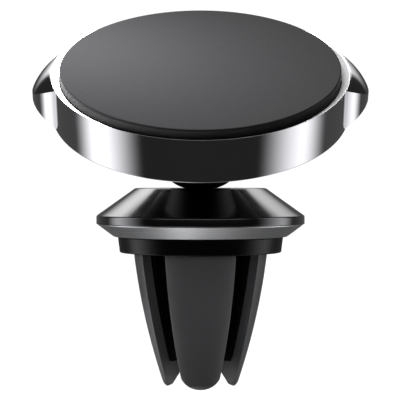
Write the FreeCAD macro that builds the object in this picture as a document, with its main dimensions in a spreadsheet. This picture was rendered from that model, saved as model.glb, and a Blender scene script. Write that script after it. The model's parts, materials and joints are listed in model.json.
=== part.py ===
"""Magnetic air-vent phone mount: a round magnetic head on a ball stud, held by a screwed cone
nut in a vent clip with four sprung prongs.

The document's frame: the clip's axis is Z, the prongs hang below z = 0, the underside of the
collar. The head leans towards -Y about the centre of the ball. All sizes are millimetres and
all driving sizes are cells of the sheet "Sizes".
"""

import FreeCAD, Part
import math
import os

import Sketcher

doc = FreeCAD.newDocument("PhoneMount")
sheet = doc.addObject("Spreadsheet::Sheet", "Sizes")
Vector = FreeCAD.Vector
Rotation = FreeCAD.Rotation
SUBPARTS = []


# ---------------------------------------------------------------------------------------------
# Sizes: each value is a cell, and sums of cells carry both their number and their expression.
# ---------------------------------------------------------------------------------------------
class Size:
    """A number together with the sheet expression that gives it."""

    def __init__(self, value, text):
        self.value = float(value)
        self.text = text

    def __add__(self, other):
        other = as_size(other)
        return Size(self.value + other.value, f"({self.text} + {other.text})")

    def __sub__(self, other):
        other = as_size(other)
        return Size(self.value - other.value, f"({self.text} - {other.text})")

    def __mul__(self, other):
        other = as_size(other)
        return Size(self.value * other.value, f"({self.text} * {other.text})")

    def __truediv__(self, other):
        other = as_size(other)
        return Size(self.value / other.value, f"({self.text} / {other.text})")

    def root(self):
        return Size(math.sqrt(self.value), f"sqrt({self.text})")

    def squared(self):
        return self * self


def as_size(item):
    if isinstance(item, Size):
        return item
    return Size(item, str(item))


def cell(alias, value, note):
    """Add one driving size to the sheet and return it."""
    cell.row += 1
    sheet.set(f"A{cell.row}", note)
    sheet.set(f"B{cell.row}", str(value))
    sheet.setAlias(f"B{cell.row}", alias)
    return Size(value, f"Sizes.{alias}")


cell.row = 0

# Running and assembly gaps
running_gap = cell("running_gap", 0.05, "radial gap of turning and sliding fits")
ball_gap = cell("ball_gap", 0.08, "gap between the ball and its seats")
contact_gap = cell("contact_gap", 0.02, "gap of faces that press on each other in use")
pad_gap = cell("pad_gap", 0.1, "gap round the soft pad")
root_gap = cell("root_gap", 0.15, "room round a prong's root")

# Ball joint
head_tilt = cell("head_tilt", 29.2, "lean of the head towards -Y, degrees")
ball_radius = cell("ball_radius", 5.0, "ball")
neck_radius = cell("neck_radius", 2.35, "neck above the ball")
boss_radius = cell("boss_radius", 4.8, "boss above the neck")
seat_wall = cell("seat_wall", 0.72, "wall of the lower ball seat")
flare_level = cell("flare_level", 5.8, "start of the neck's flare, from the ball's centre")
boss_level = cell("boss_level", 7.5, "end of the neck's flare, from the ball's centre")
stud_level = cell("stud_level", 9.4, "shoulder of the stud, from the ball's centre")
spigot_radius = cell("spigot_radius", 3.3, "stud inside the back cover")

# Stud screw, through the ball and the stud into the yoke plate
screw_radius = cell("screw_radius", 1.25, "shank of the stud screw")
screw_head_radius = cell("screw_head_radius", 2.25, "cap of the stud screw")
screw_head_height = cell("screw_head_height", 1.5, "height of that cap")
screw_seat_depth = cell("screw_seat_depth", 2.35, "seat of that cap below the ball's centre")
screw_socket = cell("screw_socket", 1.1, "corners of that cap's hexagon socket")

# Head
pad_level = cell("pad_level", 24.74, "pad's face from the ball's centre")
pad_thickness = cell("pad_thickness", 1.6, "soft pad")
pad_bevel = cell("pad_bevel", 0.25, "rounding of the pad's edge")
pad_proud = cell("pad_proud", 0.81, "pad's face above the ring's rim")
adhesive_thickness = cell("adhesive_thickness", 0.15, "adhesive under the pad")
adhesive_inset = cell("adhesive_inset", 0.5, "adhesive inside the pad's edge")
ring_radius = cell("ring_radius", 20.8, "outside of the ring")
ring_height = cell("ring_height", 6.3, "ring along the head's axis")
ring_wall = cell("ring_wall", 1.4, "wall of the ring")
rim_width = cell("rim_width", 1.15, "sloped rim between the pad and the outside of the ring")
rim_slope = cell("rim_slope", 0.75, "depth of the sloped inner rim")
lip_width = cell("lip_width", 2.4, "inner lip under the pad, from the outside")
lip_thickness = cell("lip_thickness", 0.9, "inner lip")
ring_round = cell("ring_round", 0.4, "rounded lower edge of the ring")
ear_reach = cell("ear_reach", 2.75, "side ear beyond the ring")
ear_outline = cell("ear_outline", 7.2, "radius of the ear's outline")
ear_drop = cell("ear_drop", 0.17, "top of the ear's root below the rim")
ear_overlap = cell("ear_overlap", 0.2, "how far an ear reaches into the ring, hidden by the rim slope")
ear_side = cell("ear_side", 1.0, "height of the ear's side at its tip")
ear_rise = cell("ear_rise", 2.45, "foot of that side above the ring's lower edge")
ear_curve = cell("ear_curve", 7.5, "radius of the ear's curved top")
ear_belly = cell("ear_belly", 15.0, "radius of the ear's curved underside")
tray_thickness = cell("tray_thickness", 3.4, "magnet tray")
magnet_radius = cell("magnet_radius", 4.25, "disc magnet")
magnet_thickness = cell("magnet_thickness", 2.4, "disc magnet")
magnet_margin = cell("magnet_margin", 3.3, "magnets from the edge of their tray")
yoke_thickness = cell("yoke_thickness", 0.8, "steel yoke plate")
yoke_inset = cell("yoke_inset", 0.2, "yoke plate inside the ring's bore")
cover_wall = cell("cover_wall", 1.6, "wall of the back cover")
cover_dome = cell("cover_dome", 34.0, "radius of the back cover's dome")
cover_neck_radius = cell("cover_neck_radius", 5.4, "lower end of the back cover")
cover_shoulder_radius = cell("cover_shoulder_radius", 8.2, "foot of the back cover's dome")
cover_shoulder_level = cell("cover_shoulder_level", 13.4, "that foot from the ball's centre")
cover_screw_inset = cell("cover_screw_inset", 3.75, "cover screws from the ring's bore")
cover_screw_radius = cell("cover_screw_radius", 0.7, "shank of a cover screw")
cover_screw_length = cell("cover_screw_length", 3.6, "shank of a cover screw")
cover_screw_head = cell("cover_screw_head", 1.45, "radius of a cover screw's head")
cover_screw_cap = cell("cover_screw_cap", 0.8, "height of a cover screw's head")
cover_screw_rise = cell("cover_screw_rise", 0.63, "seat of those heads below the ring's edge")
cross_length = cell("cross_length", 1.6, "cross recess of a cover screw")
cross_breadth = cell("cross_breadth", 0.35, "arm of that recess")

# Lock nut and thrust ring
nut_top = cell("nut_top", 9.42, "top of the cone nut above the collar's underside")
nut_top_wall = cell("nut_top_wall", 0.8, "top edge of the cone round its mouth")
band_top = cell("band_top", 5.37, "top of the nut's straight band")
band_bottom = cell("band_bottom", 4.16, "bottom of the nut's straight band")
band_bevel = cell("band_bevel", 0.12, "bevel of the band's edges")
nut_mouth_flare = cell("nut_mouth_flare", 1.1, "mouth of the nut beyond its throat")
nut_lip_hold = cell("nut_lip_hold", 1.2, "nut's lip over the thrust ring")
nut_skirt_wall = cell("nut_skirt_wall", 1.2, "wall of the nut's skirt")
trim_foot_wall = cell("trim_foot_wall", 1.11, "lower edge of the trim ring")
trim_flare = cell("trim_flare", 2.54, "nut's band beyond the trim ring's lower edge")
thread_radius = cell("thread_radius", 10.4, "thread of the hub")
thrust_radius = cell("thrust_radius", 8.9, "thrust ring")
thrust_foot = cell("thrust_foot", 0.3, "thrust ring's underside above the ball's centre")
thrust_edge = cell("thrust_edge", 2.1, "top of its spherical seat above the ball's centre")
thrust_top = cell("thrust_top", 2.5, "thrust ring's top above the ball's centre")
thrust_flare = cell("thrust_flare", 0.37, "thrust ring's mouth beyond its seat's edge")

# Collar and hub
collar_height = cell("collar_height", 2.26, "collar")
collar_wall = cell("collar_wall", 1.47, "collar at its foot")
collar_flare = cell("collar_flare", 0.28, "collar's top beyond its foot")
hub_top_gap = cell("hub_top_gap", 0.15, "hub's top above the ball's centre")
hub_wall = cell("hub_wall", 1.2, "hub's wall under the ball seat")
hub_drop = cell("hub_drop", 2.05, "hub's dome below the collar's underside")

# Prongs
prong_length = cell("prong_length", 19.7, "prongs below the collar")
prong_top_gap = cell("prong_top_gap", 0.16, "prong's top below the collar's underside")
prong_root_reach = cell("prong_root_reach", 9.8, "outside of the prongs at their root")
prong_nose_reach = cell("prong_nose_reach", 5.6, "outside of the prongs where their nose begins")
prong_nose_height = cell("prong_nose_height", 0.85, "rounded nose of a prong")
prong_nose_radius = cell("prong_nose_radius", 1.3, "radius of that nose")
prong_curve = cell("prong_curve", 95.0, "radius of a prong's outline from root to tip")
sleeve_wall = cell("sleeve_wall", 1.6, "rubber sleeve at a prong's root")
sleeve_slot_root = cell("sleeve_slot_root", 4.75, "slot between two sleeves at their root")
sleeve_slot_tip = cell("sleeve_slot_tip", 3.2, "slot between two sleeves at their tip")
finger_slot = cell("finger_slot", 2.4, "slot between two stiff fingers")
finger_end_gap = cell("finger_end_gap", 3.9, "stiff finger's end above the prong's tip")
finger_tip_reach = cell("finger_tip_reach", 4.95, "outside of a finger at its end")
finger_root_bore = cell("finger_root_bore", 5.7, "inside of a finger at its root")
finger_tip_bore = cell("finger_tip_bore", 2.6, "inside of a finger at its end")
lead_in_mouth = cell("lead_in_mouth", 4.85, "flared mouth between the prongs' tips")
lead_in_throat = cell("lead_in_throat", 3.2, "inner end of that mouth")
lead_in_height = cell("lead_in_height", 1.9, "height of that mouth")
tongue_radius = cell("tongue_radius", 3.2, "rounded end of a prong")
root_block_depth = cell("root_block_depth", 1.4, "radial depth of a finger's root block")
root_block_width = cell("root_block_width", 4.6, "width of a finger's root block")
root_block_height = cell("root_block_height", 1.3, "root block above the collar's underside")
root_block_circle = cell("root_block_circle", 7.1, "centre of a root block from the axis")

# Levels and radii that follow from the driving sizes: the head, along its axis
ring_top = pad_level - pad_proud
ring_bottom = ring_top - ring_height
pad_bottom = pad_level - pad_thickness
lip_top = pad_bottom - adhesive_thickness
lip_bottom = lip_top - lip_thickness
tray_bottom = lip_top - tray_thickness
yoke_bottom = tray_bottom - yoke_thickness
cover_screw_level = ring_bottom - cover_screw_rise
pad_radius = ring_radius - rim_width - pad_gap
rim_bore = pad_radius + pad_gap
ring_bore = ring_radius - ring_wall
lip_bore = ring_radius - lip_width
inside_radius = ring_bore - running_gap
magnet_circle = inside_radius - magnet_margin - magnet_radius
cover_screw_circle = inside_radius - cover_screw_inset

# The ball, its seats and the hub round them
ball_flat = (ball_radius.squared() - neck_radius.squared()).root()
seat_radius = ball_radius + ball_gap
seat_outside = seat_radius + seat_wall
hub_pocket = seat_outside + running_gap
hub_dome = hub_pocket + hub_wall
ball_height = hub_dome - hub_drop
hub_top = ball_height + hub_top_gap

# The nut, its trim and the collar
lip_level = ball_height + thrust_top + contact_gap
nut_throat_radius = thrust_radius - nut_lip_hold
nut_mouth_radius = nut_throat_radius + nut_mouth_flare
nut_top_radius = nut_mouth_radius + nut_top_wall
nut_foot = collar_height + running_gap + contact_gap
nut_skirt_bore = thread_radius + running_gap
nut_skirt_radius = nut_skirt_bore + nut_skirt_wall
trim_foot_radius = nut_skirt_radius + trim_foot_wall
nut_radius = trim_foot_radius + trim_flare
collar_foot_radius = thread_radius + collar_wall
collar_top_radius = collar_foot_radius + collar_flare

# The prongs
prong_top = Size(0, "0") - prong_top_gap
prong_tip = Size(0, "0") - prong_length
finger_foot = prong_tip + finger_end_gap

MAGNET_COUNT = 6
COVER_SCREW_COUNT = 3
FIRST_COVER_SCREW = 90
PRONGS = (("front", 0), ("right", 90), ("back", 180), ("left", 270))


# ---------------------------------------------------------------------------------------------
# Building blocks
# ---------------------------------------------------------------------------------------------
def finished(item):
    """Register a finished sub-part; its Label names its file."""
    SUBPARTS.append(item)
    return item


def origin_plane(body, role):
    for feature in body.Origin.OriginFeatures:
        if feature.Role == role:
            return feature
    raise RuntimeError(f"no {role} in {body.Label}")


def add_sketch(body, name, role, level=None):
    """Sketch on one of the body's origin planes, lifted along the plane's normal by level."""
    sketch = body.newObject("Sketcher::SketchObject", name)
    sketch.AttachmentSupport = (origin_plane(body, role), [""])
    sketch.MapMode = "FlatFace"
    if level is not None:
        sketch.AttachmentOffset = FreeCAD.Placement(Vector(0, 0, level.value), Rotation())
        sketch.setExpression(".AttachmentOffset.Base.z", level.text)
    return sketch


def bind(sketch, constraint, size):
    """Add a dimensional constraint whose value is an expression of the sheet."""
    number = sketch.addConstraint(constraint)
    sketch.setExpression(f"Constraints[{number}]", size.text)


def pin_point(sketch, geometry, point, across, along):
    """Fix one point of a sketch at two sizes measured from the sketch's origin."""
    for kind, size, axis in (("DistanceX", across, -2), ("DistanceY", along, -1)):
        size = as_size(size)
        if abs(size.value) < 1e-9:
            sketch.addConstraint(Sketcher.Constraint("PointOnObject", geometry, point, axis))
        else:
            bind(sketch, Sketcher.Constraint(kind, -1, 1, geometry, point, size.value), size)


def short_arc(start, end, radius, turn):
    """Shorter arc between two points; turn is +1 if it bulges to the left of the way, -1 if
    it bulges to the right. An arc always runs anticlockwise, so the first starts at end."""
    chord = end - start
    left = Vector(-chord.y, chord.x, 0).normalize()
    rise = math.sqrt(max(radius ** 2 - (chord.Length / 2) ** 2, 0))
    centre = (start + end) * 0.5 - left * (rise * turn)
    first, last = (end, start) if turn > 0 else (start, end)
    first_angle = math.atan2(first.y - centre.y, first.x - centre.x)
    last_angle = math.atan2(last.y - centre.y, last.x - centre.x)
    if last_angle < first_angle:
        last_angle += 2 * math.pi
    circle = Part.Circle(centre, Vector(0, 0, 1), radius)
    return Part.ArcOfCircle(circle, first_angle, last_angle)


def draw_outline(sketch, corners):
    """Closed outline. A corner is (across, along), and one that starts an arc adds the arc's
    radius and which way it bulges: +1 to the left of the way to the next corner, -1 right."""
    spots = []
    for corner in corners:
        spots.append(Vector(as_size(corner[0]).value, as_size(corner[1]).value, 0))
    ends = []
    for number, corner in enumerate(corners):
        start = spots[number]
        end = spots[(number + 1) % len(spots)]
        if len(corner) == 2:
            edge = sketch.addGeometry(Part.LineSegment(start, end), False)
            ends.append((edge, 1, 2))
        else:
            arc = short_arc(start, end, corner[2].value, corner[3])
            edge = sketch.addGeometry(arc, False)
            ends.append((edge, 2, 1) if corner[3] > 0 else (edge, 1, 2))
    for number, corner in enumerate(corners):
        edge, first, last = ends[number]
        next_edge, next_first, _ = ends[(number + 1) % len(ends)]
        sketch.addConstraint(Sketcher.Constraint("Coincident", edge, last, next_edge, next_first))
        pin_point(sketch, edge, first, corner[0], corner[1])
        if len(corner) == 4:
            bind(sketch, Sketcher.Constraint("Radius", edge, corner[2].value), corner[2])


def turned_body(label, corners):
    """Body made by turning an outline of (radius, level) corners about its Z axis."""
    body = doc.addObject("PartDesign::Body", label)
    body.Label = label
    sketch = add_sketch(body, f"{label}_outline", "XZ_Plane")
    draw_outline(sketch, corners)
    feature = body.newObject("PartDesign::Revolution", f"{label}_turned")
    feature.Profile = sketch
    feature.ReferenceAxis = (sketch, ["V_Axis"])
    feature.Angle = 360
    return body


def place_on_head(item):
    """Put a piece made about Z, with the ball's centre at its origin, on the leaning head."""
    lean = Rotation(Vector(1, 0, 0), head_tilt.value)
    item.Placement = FreeCAD.Placement(Vector(0, 0, ball_height.value), lean)
    item.setExpression(".Placement.Base.z", ball_height.text)
    item.setExpression(".Placement.Rotation.Angle", head_tilt.text)
    return item


def bind_properties(item, sizes):
    """Give an object's named properties both their numbers and their expressions."""
    for name, size in sizes.items():
        setattr(item, name, size.value)
        item.setExpression(name, size.text)


def bind_base(item, across, along, level, angle=0):
    """Put an object's base point at three sizes, turned about Z by an angle in degrees."""
    sizes = [as_size(size) for size in (across, along, level)]
    turned = Rotation(Vector(0, 0, 1), angle)
    item.Placement = FreeCAD.Placement(Vector(*(size.value for size in sizes)), turned)
    for letter, size in zip("xyz", sizes):
        item.setExpression(f".Placement.Base.{letter}", size.text)


def cylinder(name, radius, height, level, across=0, along=0):
    """Upright Part cylinder from level up, bound to the sheet."""
    item = doc.addObject("Part::Cylinder", name)
    bind_properties(item, {"Radius": radius, "Height": height})
    bind_base(item, across, along, level)
    return item


def box(name, length, width, height, spot, angle=0):
    """Part box whose lowest corner is at spot, turned about that corner's vertical edge."""
    item = doc.addObject("Part::Box", name)
    bind_properties(item, {"Length": length, "Width": width, "Height": height})
    bind_base(item, *spot, angle)
    return item


def sphere(name, radius, level=0):
    item = doc.addObject("Part::Sphere", name)
    bind_properties(item, {"Radius": radius})
    bind_base(item, 0, 0, level)
    return item


def join(name, pieces):
    item = doc.addObject("Part::MultiFuse", name)
    item.Label = name
    item.Shapes = pieces
    return item


def cut(name, base, tools):
    item = doc.addObject("Part::Cut", name)
    item.Label = name
    item.Base = base
    item.Tool = join(f"{name}_tools", tools) if len(tools) > 1 else tools[0]
    return item


def common(name, first, second):
    item = doc.addObject("Part::MultiCommon", name)
    item.Shapes = [first, second]
    return item


def around(count, circle, start=0):
    """Centres of count places on a circle, as pairs of sizes."""
    places = []
    for number in range(count):
        angle = math.radians(start + 360 * number / count)
        places.append((circle * round(math.cos(angle), 9), circle * round(math.sin(angle), 9)))
    return places


def cover_screw_places():
    return enumerate(around(COVER_SCREW_COUNT, cover_screw_circle, FIRST_COVER_SCREW))


def group(label, pieces):
    item = doc.addObject("Part::Compound", label)
    item.Label = label
    item.Links = pieces
    return item


# ---------------------------------------------------------------------------------------------
# Head: levels run along the head's axis from the centre of the ball
# ---------------------------------------------------------------------------------------------
def make_face_pad():
    """Soft disc with a rounded edge, proud of the ring."""
    edge = pad_radius - pad_bevel
    body = turned_body("face_pad", [
        (0, pad_bottom), (pad_radius, pad_bottom),
        (pad_radius, pad_level - pad_bevel, pad_bevel, -1), (edge, pad_level), (0, pad_level)])
    return place_on_head(finished(body))


def make_pad_adhesive():
    radius = pad_radius - adhesive_inset
    disc = cylinder("adhesive_disc", radius, adhesive_thickness, lip_top)
    return place_on_head(finished(group("pad_adhesive", [disc])))


def make_head_ring():
    """Cast ring with a sloped inner rim, an inner lip and a crescent ear on each side."""
    ring = turned_body("head_ring_turned", [
        (lip_bore, lip_bottom), (lip_bore, lip_top), (rim_bore, lip_top),
        (rim_bore, ring_top - rim_slope), (ring_radius, ring_top),
        (ring_radius, ring_bottom + ring_round, ring_round, 1),
        (ring_radius - ring_round, ring_bottom), (ring_bore, ring_bottom),
        (ring_bore, lip_bottom)])
    ear_root = ring_top - ear_drop
    ear_foot = ring_bottom + ear_rise
    ear_limit = ring_radius + ear_reach
    core_radius = ring_radius - ear_overlap
    belly_level = ring_bottom + ring_round
    crown = turned_body("head_ring_crown", [
        (core_radius, belly_level), (ring_radius, belly_level, ear_belly, -1),
        (ear_limit, ear_foot), (ear_limit, ear_foot + ear_side, ear_curve, -1),
        (ring_radius, ear_root), (core_radius, ear_root)])
    lobes = []
    for number, side in enumerate((-1, 1)):
        centre = (ear_limit - ear_outline) * side
        lobes.append(cylinder(f"head_ring_lobe_{number}", ear_outline, ring_height, ring_bottom,
                              centre))
    ears = common("head_ring_ears", crown, join("head_ring_lobes", lobes))
    return place_on_head(finished(join("head_ring", [ring, ears])))


def make_magnet_tray():
    """Disc under the ring's lip with a raised middle and a pocket for each magnet."""
    disc = turned_body("magnet_tray_turned", [
        (0, tray_bottom), (inside_radius, tray_bottom), (inside_radius, lip_bottom),
        (lip_bore - running_gap, lip_bottom), (lip_bore - running_gap, lip_top), (0, lip_top)])
    hollows = []
    for number, (across, along) in enumerate(around(MAGNET_COUNT, magnet_circle)):
        hollows.append(cylinder(f"magnet_pocket_{number}", magnet_radius + running_gap,
                                magnet_thickness, tray_bottom, across, along))
    depth = cover_screw_level + cover_screw_length - tray_bottom
    for number, (across, along) in cover_screw_places():
        hollows.append(cylinder(f"tray_screw_hole_{number}", cover_screw_radius, depth,
                                tray_bottom, across, along))
    hollows.append(cylinder("tray_stud_hole", screw_radius + pad_gap, yoke_thickness,
                            tray_bottom))
    return place_on_head(finished(cut("magnet_tray", disc, hollows)))


def make_magnets():
    discs = []
    for number, (across, along) in enumerate(around(MAGNET_COUNT, magnet_circle)):
        discs.append(cylinder(f"magnet_{number}", magnet_radius, magnet_thickness, tray_bottom,
                              across, along))
    return place_on_head(finished(group("magnets", discs)))


def make_yoke_plate():
    """Steel plate behind the magnets, tapped in its middle for the stud screw."""
    plate = cylinder("yoke_disc", ring_bore - yoke_inset, yoke_thickness, yoke_bottom)
    holes = [cylinder("yoke_stud_hole", screw_radius, yoke_thickness, yoke_bottom)]
    for number, (across, along) in cover_screw_places():
        holes.append(cylinder(f"yoke_screw_hole_{number}", cover_screw_radius, yoke_thickness,
                              yoke_bottom, across, along))
    return place_on_head(finished(cut("yoke_plate", plate, holes)))


def make_back_cover():
    """Domed cover that closes the ring and narrows to the stud."""
    shell = turned_body("back_cover_turned", [
        (spigot_radius, stud_level), (cover_neck_radius, stud_level),
        (cover_shoulder_radius, cover_shoulder_level, cover_dome, -1),
        (inside_radius, ring_bottom), (inside_radius, yoke_bottom),
        (inside_radius - cover_wall, yoke_bottom),
        (inside_radius - cover_wall, ring_bottom + cover_wall / 4),
        (cover_shoulder_radius - cover_wall / 2, cover_shoulder_level + cover_wall),
        (spigot_radius + cover_wall, cover_shoulder_level + cover_wall),
        (spigot_radius + cover_wall, yoke_bottom), (spigot_radius, yoke_bottom)])
    pillars = []
    holes = []
    for number, (across, along) in cover_screw_places():
        pillars.append(cylinder(f"cover_pillar_{number}", cover_screw_head + cover_wall / 2,
                                yoke_bottom - ring_bottom, ring_bottom, across, along))
        holes.append(cylinder(f"cover_hole_{number}", cover_screw_radius + running_gap,
                              yoke_bottom - cover_screw_level, cover_screw_level, across, along))
        holes.append(cylinder(f"cover_recess_{number}", cover_screw_head + pad_gap,
                              cover_screw_level - cover_shoulder_level, cover_shoulder_level,
                              across, along))
    solid = join("back_cover_solid", [shell] + pillars)
    return place_on_head(finished(cut("back_cover", solid, holes)))


def make_cover_screws():
    """Three cross-recessed screws through the cover and the yoke plate into the tray."""
    head_level = cover_screw_level - cover_screw_cap
    screws = []
    for number, (across, along) in cover_screw_places():
        shank = cylinder(f"cover_shank_{number}", cover_screw_radius, cover_screw_length,
                         cover_screw_level, across, along)
        head = cylinder(f"cover_head_{number}", cover_screw_head, cover_screw_cap, head_level,
                        across, along)
        arms = []
        for length, width in ((cross_length, cross_breadth), (cross_breadth, cross_length)):
            corner = (across - length / 2, along - width / 2, head_level)
            arms.append(box(f"cover_cross_{number}_{len(arms)}", length, width,
                            cover_screw_cap / 2, corner))
        blank = join(f"cover_blank_{number}", [shank, head])
        screws.append(cut(f"cover_screw_{number}", blank, arms))
    return place_on_head(finished(group("cover_screws", screws)))


def make_neck_stud():
    """Neck with its flare, boss and spigot, bored for the stud screw."""
    bore = screw_radius + running_gap
    foot = ball_flat + running_gap
    return place_on_head(finished(turned_body("neck_stud", [
        (bore, foot), (neck_radius, foot), (neck_radius, flare_level), (boss_radius, boss_level),
        (boss_radius, stud_level), (spigot_radius, stud_level), (spigot_radius, yoke_bottom),
        (bore, yoke_bottom)])))


def make_stud_screw():
    """Long screw from the ball's underside to the yoke plate, with a hexagon socket."""
    seat = screw_seat_depth + running_gap
    cap_level = Size(0, "0") - seat - screw_head_height
    shank = cylinder("stud_shank", screw_radius, seat + yoke_bottom + yoke_thickness,
                     Size(0, "0") - seat)
    cap = cylinder("stud_cap", screw_head_radius, screw_head_height, cap_level)
    socket = doc.addObject("Part::Prism", "stud_socket")
    socket.Polygon = 6
    bind_properties(socket, {"Circumradius": screw_socket, "Height": screw_head_height / 2})
    bind_base(socket, 0, 0, cap_level)
    return place_on_head(finished(cut("stud_screw", join("stud_blank", [shank, cap]), [socket])))


def make_ball():
    """Ball with a flat for the neck, a bore for the stud screw and a recess for its cap."""
    underside = Size(0, "0") - ball_radius
    flat = cylinder("ball_flat_cut", ball_radius, ball_radius, ball_flat)
    bore = cylinder("ball_bore", screw_radius + running_gap, ball_radius * 2, underside)
    recess = cylinder("ball_recess", screw_head_radius + running_gap,
                      ball_radius - screw_seat_depth, underside)
    blank = sphere("ball_blank", ball_radius)
    return place_on_head(finished(cut("ball", blank, [flat, bore, recess])))


# ---------------------------------------------------------------------------------------------
# Socket, lock nut and collar: levels run up from the collar's underside
# ---------------------------------------------------------------------------------------------
def make_ball_seat():
    """Lower half of the ball's seat, a spherical cup that turns in the hub."""
    blank = sphere("seat_blank", seat_outside, ball_height)
    hollow = sphere("seat_hollow", seat_radius, ball_height)
    above = cylinder("seat_above", seat_outside, seat_outside, ball_height)
    return finished(cut("ball_seat", blank, [hollow, above]))


def make_socket_hub():
    """Threaded hub with the pocket of the ball seat and a slot for each prong's root."""
    dome_foot = (hub_dome.squared() - ball_height.squared()).root()
    hub = turned_body("hub_turned", [
        (0, ball_height - hub_dome, hub_dome, -1), (dome_foot, 0), (thread_radius, 0),
        (thread_radius, hub_top), (hub_pocket, hub_top), (hub_pocket, ball_height, hub_pocket, 1),
        (0, ball_height - hub_pocket)])
    depth = root_block_depth + root_gap * 2
    width = root_block_width + root_gap * 2
    height = root_block_height + root_gap
    reach = root_block_circle + depth / 2
    slots = []
    for name, angle in PRONGS:
        turn = math.radians(angle)
        across = round(math.cos(turn), 9)
        along = round(math.sin(turn), 9)
        corner = (reach * along - width * (across / 2), width * (-along / 2) - reach * across, 0)
        slots.append(box(f"hub_slot_{name}", width, depth, height, corner, angle))
    return finished(cut("socket_hub", hub, slots))


def make_collar():
    """Tapered skirt pressed on the hub's foot."""
    return finished(turned_body("collar", [
        (thread_radius, 0), (collar_foot_radius, 0), (collar_top_radius, collar_height),
        (thread_radius, collar_height)]))


def make_lock_nut():
    """Cone nut: skirt with the thread, straight band, cone, and a lip over the thrust ring."""
    thrust_room = hub_top + running_gap * 2
    return finished(turned_body("lock_nut", [
        (nut_skirt_bore, nut_foot), (nut_skirt_radius, nut_foot), (nut_skirt_radius, band_bottom),
        (nut_radius - band_bevel, band_bottom), (nut_radius, band_bottom + band_bevel),
        (nut_radius, band_top - band_bevel), (nut_radius - band_bevel, band_top),
        (nut_top_radius, nut_top), (nut_mouth_radius, nut_top), (nut_throat_radius, lip_level),
        (thrust_radius + running_gap, lip_level), (thrust_radius + running_gap, thrust_room),
        (nut_skirt_bore, thrust_room)]))


def make_nut_trim():
    """Brushed chamfered ring pressed on the nut's skirt."""
    return finished(turned_body("nut_trim", [
        (nut_skirt_radius, nut_foot), (trim_foot_radius, nut_foot),
        (nut_radius - band_bevel * 2, band_bottom - band_bevel),
        (nut_radius - band_bevel * 2, band_bottom), (nut_skirt_radius, band_bottom)]))


def make_thrust_ring():
    """Ring that the nut's lip presses on the ball's upper half."""
    foot = ball_height + thrust_foot
    edge = ball_height + thrust_edge
    top = ball_height + thrust_top
    foot_bore = (seat_radius.squared() - thrust_foot.squared()).root()
    edge_bore = (seat_radius.squared() - thrust_edge.squared()).root()
    return finished(turned_body("thrust_ring", [
        (foot_bore, foot), (thrust_radius, foot), (thrust_radius, top),
        (edge_bore + thrust_flare, top), (edge_bore, edge, seat_radius, 1)]))


# ---------------------------------------------------------------------------------------------
# Prongs: made towards -Y and turned about Z
# ---------------------------------------------------------------------------------------------
def cut_quarter(body, top_slot, tip_slot):
    """Keep the quarter towards -Y between two slots, by a loft through the rest."""
    nothing = Size(0, "0")
    wide = ring_radius
    ends = (("top", nothing, top_slot), ("tip", prong_tip, tip_slot))
    sketches = []
    for place, level, slot in ends:
        apex = nothing - slot / math.sqrt(2)
        sketch = add_sketch(body, f"{body.Label}_rest_{place}", "XY_Plane", level)
        draw_outline(sketch, [
            (0, apex), (wide, apex - wide), (wide, wide), (nothing - wide, wide),
            (nothing - wide, apex - wide)])
        sketches.append(sketch)
    loft = body.newObject("PartDesign::SubtractiveLoft", f"{body.Label}_quarter")
    loft.Profile = sketches[0]
    loft.Sections = sketches[1:]
    loft.Ruled = True


def turn_prong(body, angle):
    body.Placement = FreeCAD.Placement(Vector(0, 0, 0), Rotation(Vector(0, 0, 1), angle))
    return body


def make_finger(name, angle):
    """Stiff core of a prong with its root block, which sits in the hub's slot."""
    body = turned_body(f"finger_{name}", [
        (finger_root_bore, prong_top), (finger_tip_bore, finger_foot),
        (finger_tip_reach, finger_foot, prong_curve, -1),
        (prong_root_reach - sleeve_wall, prong_top)])
    cut_quarter(body, finger_slot, finger_slot)
    block = add_sketch(body, f"finger_{name}_block", "XY_Plane", prong_top)
    half = root_block_width / 2
    left = Size(0, "0") - half
    inner = root_block_depth / 2 - root_block_circle
    outer = inner - root_block_depth
    draw_outline(block, [(left, outer), (half, outer), (half, inner), (left, inner)])
    root = body.newObject("PartDesign::Pad", f"finger_{name}_root")
    root.Profile = block
    bind_properties(root, {"Length": prong_top_gap + root_block_height})
    return finished(turn_prong(body, angle))


def make_sleeve(name, angle):
    """Rubber sleeve outside a finger, with a flared inner mouth and a rounded end."""
    body = turned_body(f"sleeve_{name}", [
        (prong_root_reach, prong_top, prong_curve, 1),
        (prong_nose_reach, prong_tip + prong_nose_height, prong_nose_radius, 1),
        (lead_in_mouth, prong_tip), (lead_in_throat, prong_tip + lead_in_height),
        (finger_tip_bore, finger_foot), (finger_tip_reach, finger_foot, prong_curve, -1),
        (prong_root_reach - sleeve_wall, prong_top)])
    cut_quarter(body, sleeve_slot_root, sleeve_slot_tip)
    tongue = add_sketch(body, f"sleeve_{name}_tongue", "XZ_Plane")
    wide = tongue_radius * 2
    middle = prong_tip + tongue_radius
    low = prong_tip - tongue_radius
    nothing = Size(0, "0")
    draw_outline(tongue, [
        (wide, low), (wide, middle), (tongue_radius, middle, tongue_radius, 1),
        (0, prong_tip, tongue_radius, 1), (nothing - tongue_radius, middle),
        (nothing - wide, middle), (nothing - wide, low)])
    end = body.newObject("PartDesign::Pocket", f"sleeve_{name}_end")
    end.Profile = tongue
    end.Type = "ThroughAll"
    end.Midplane = True
    return finished(turn_prong(body, angle))


# ---------------------------------------------------------------------------------------------
# Build, check and write
# ---------------------------------------------------------------------------------------------
make_face_pad()
make_pad_adhesive()
make_head_ring()
make_magnet_tray()
make_magnets()
make_yoke_plate()
make_back_cover()
make_cover_screws()
make_neck_stud()
make_stud_screw()
make_ball()
make_ball_seat()
make_thrust_ring()
make_lock_nut()
make_nut_trim()
make_socket_hub()
make_collar()
for prong_name, prong_angle in PRONGS:
    make_finger(prong_name, prong_angle)
    make_sleeve(prong_name, prong_angle)

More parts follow.
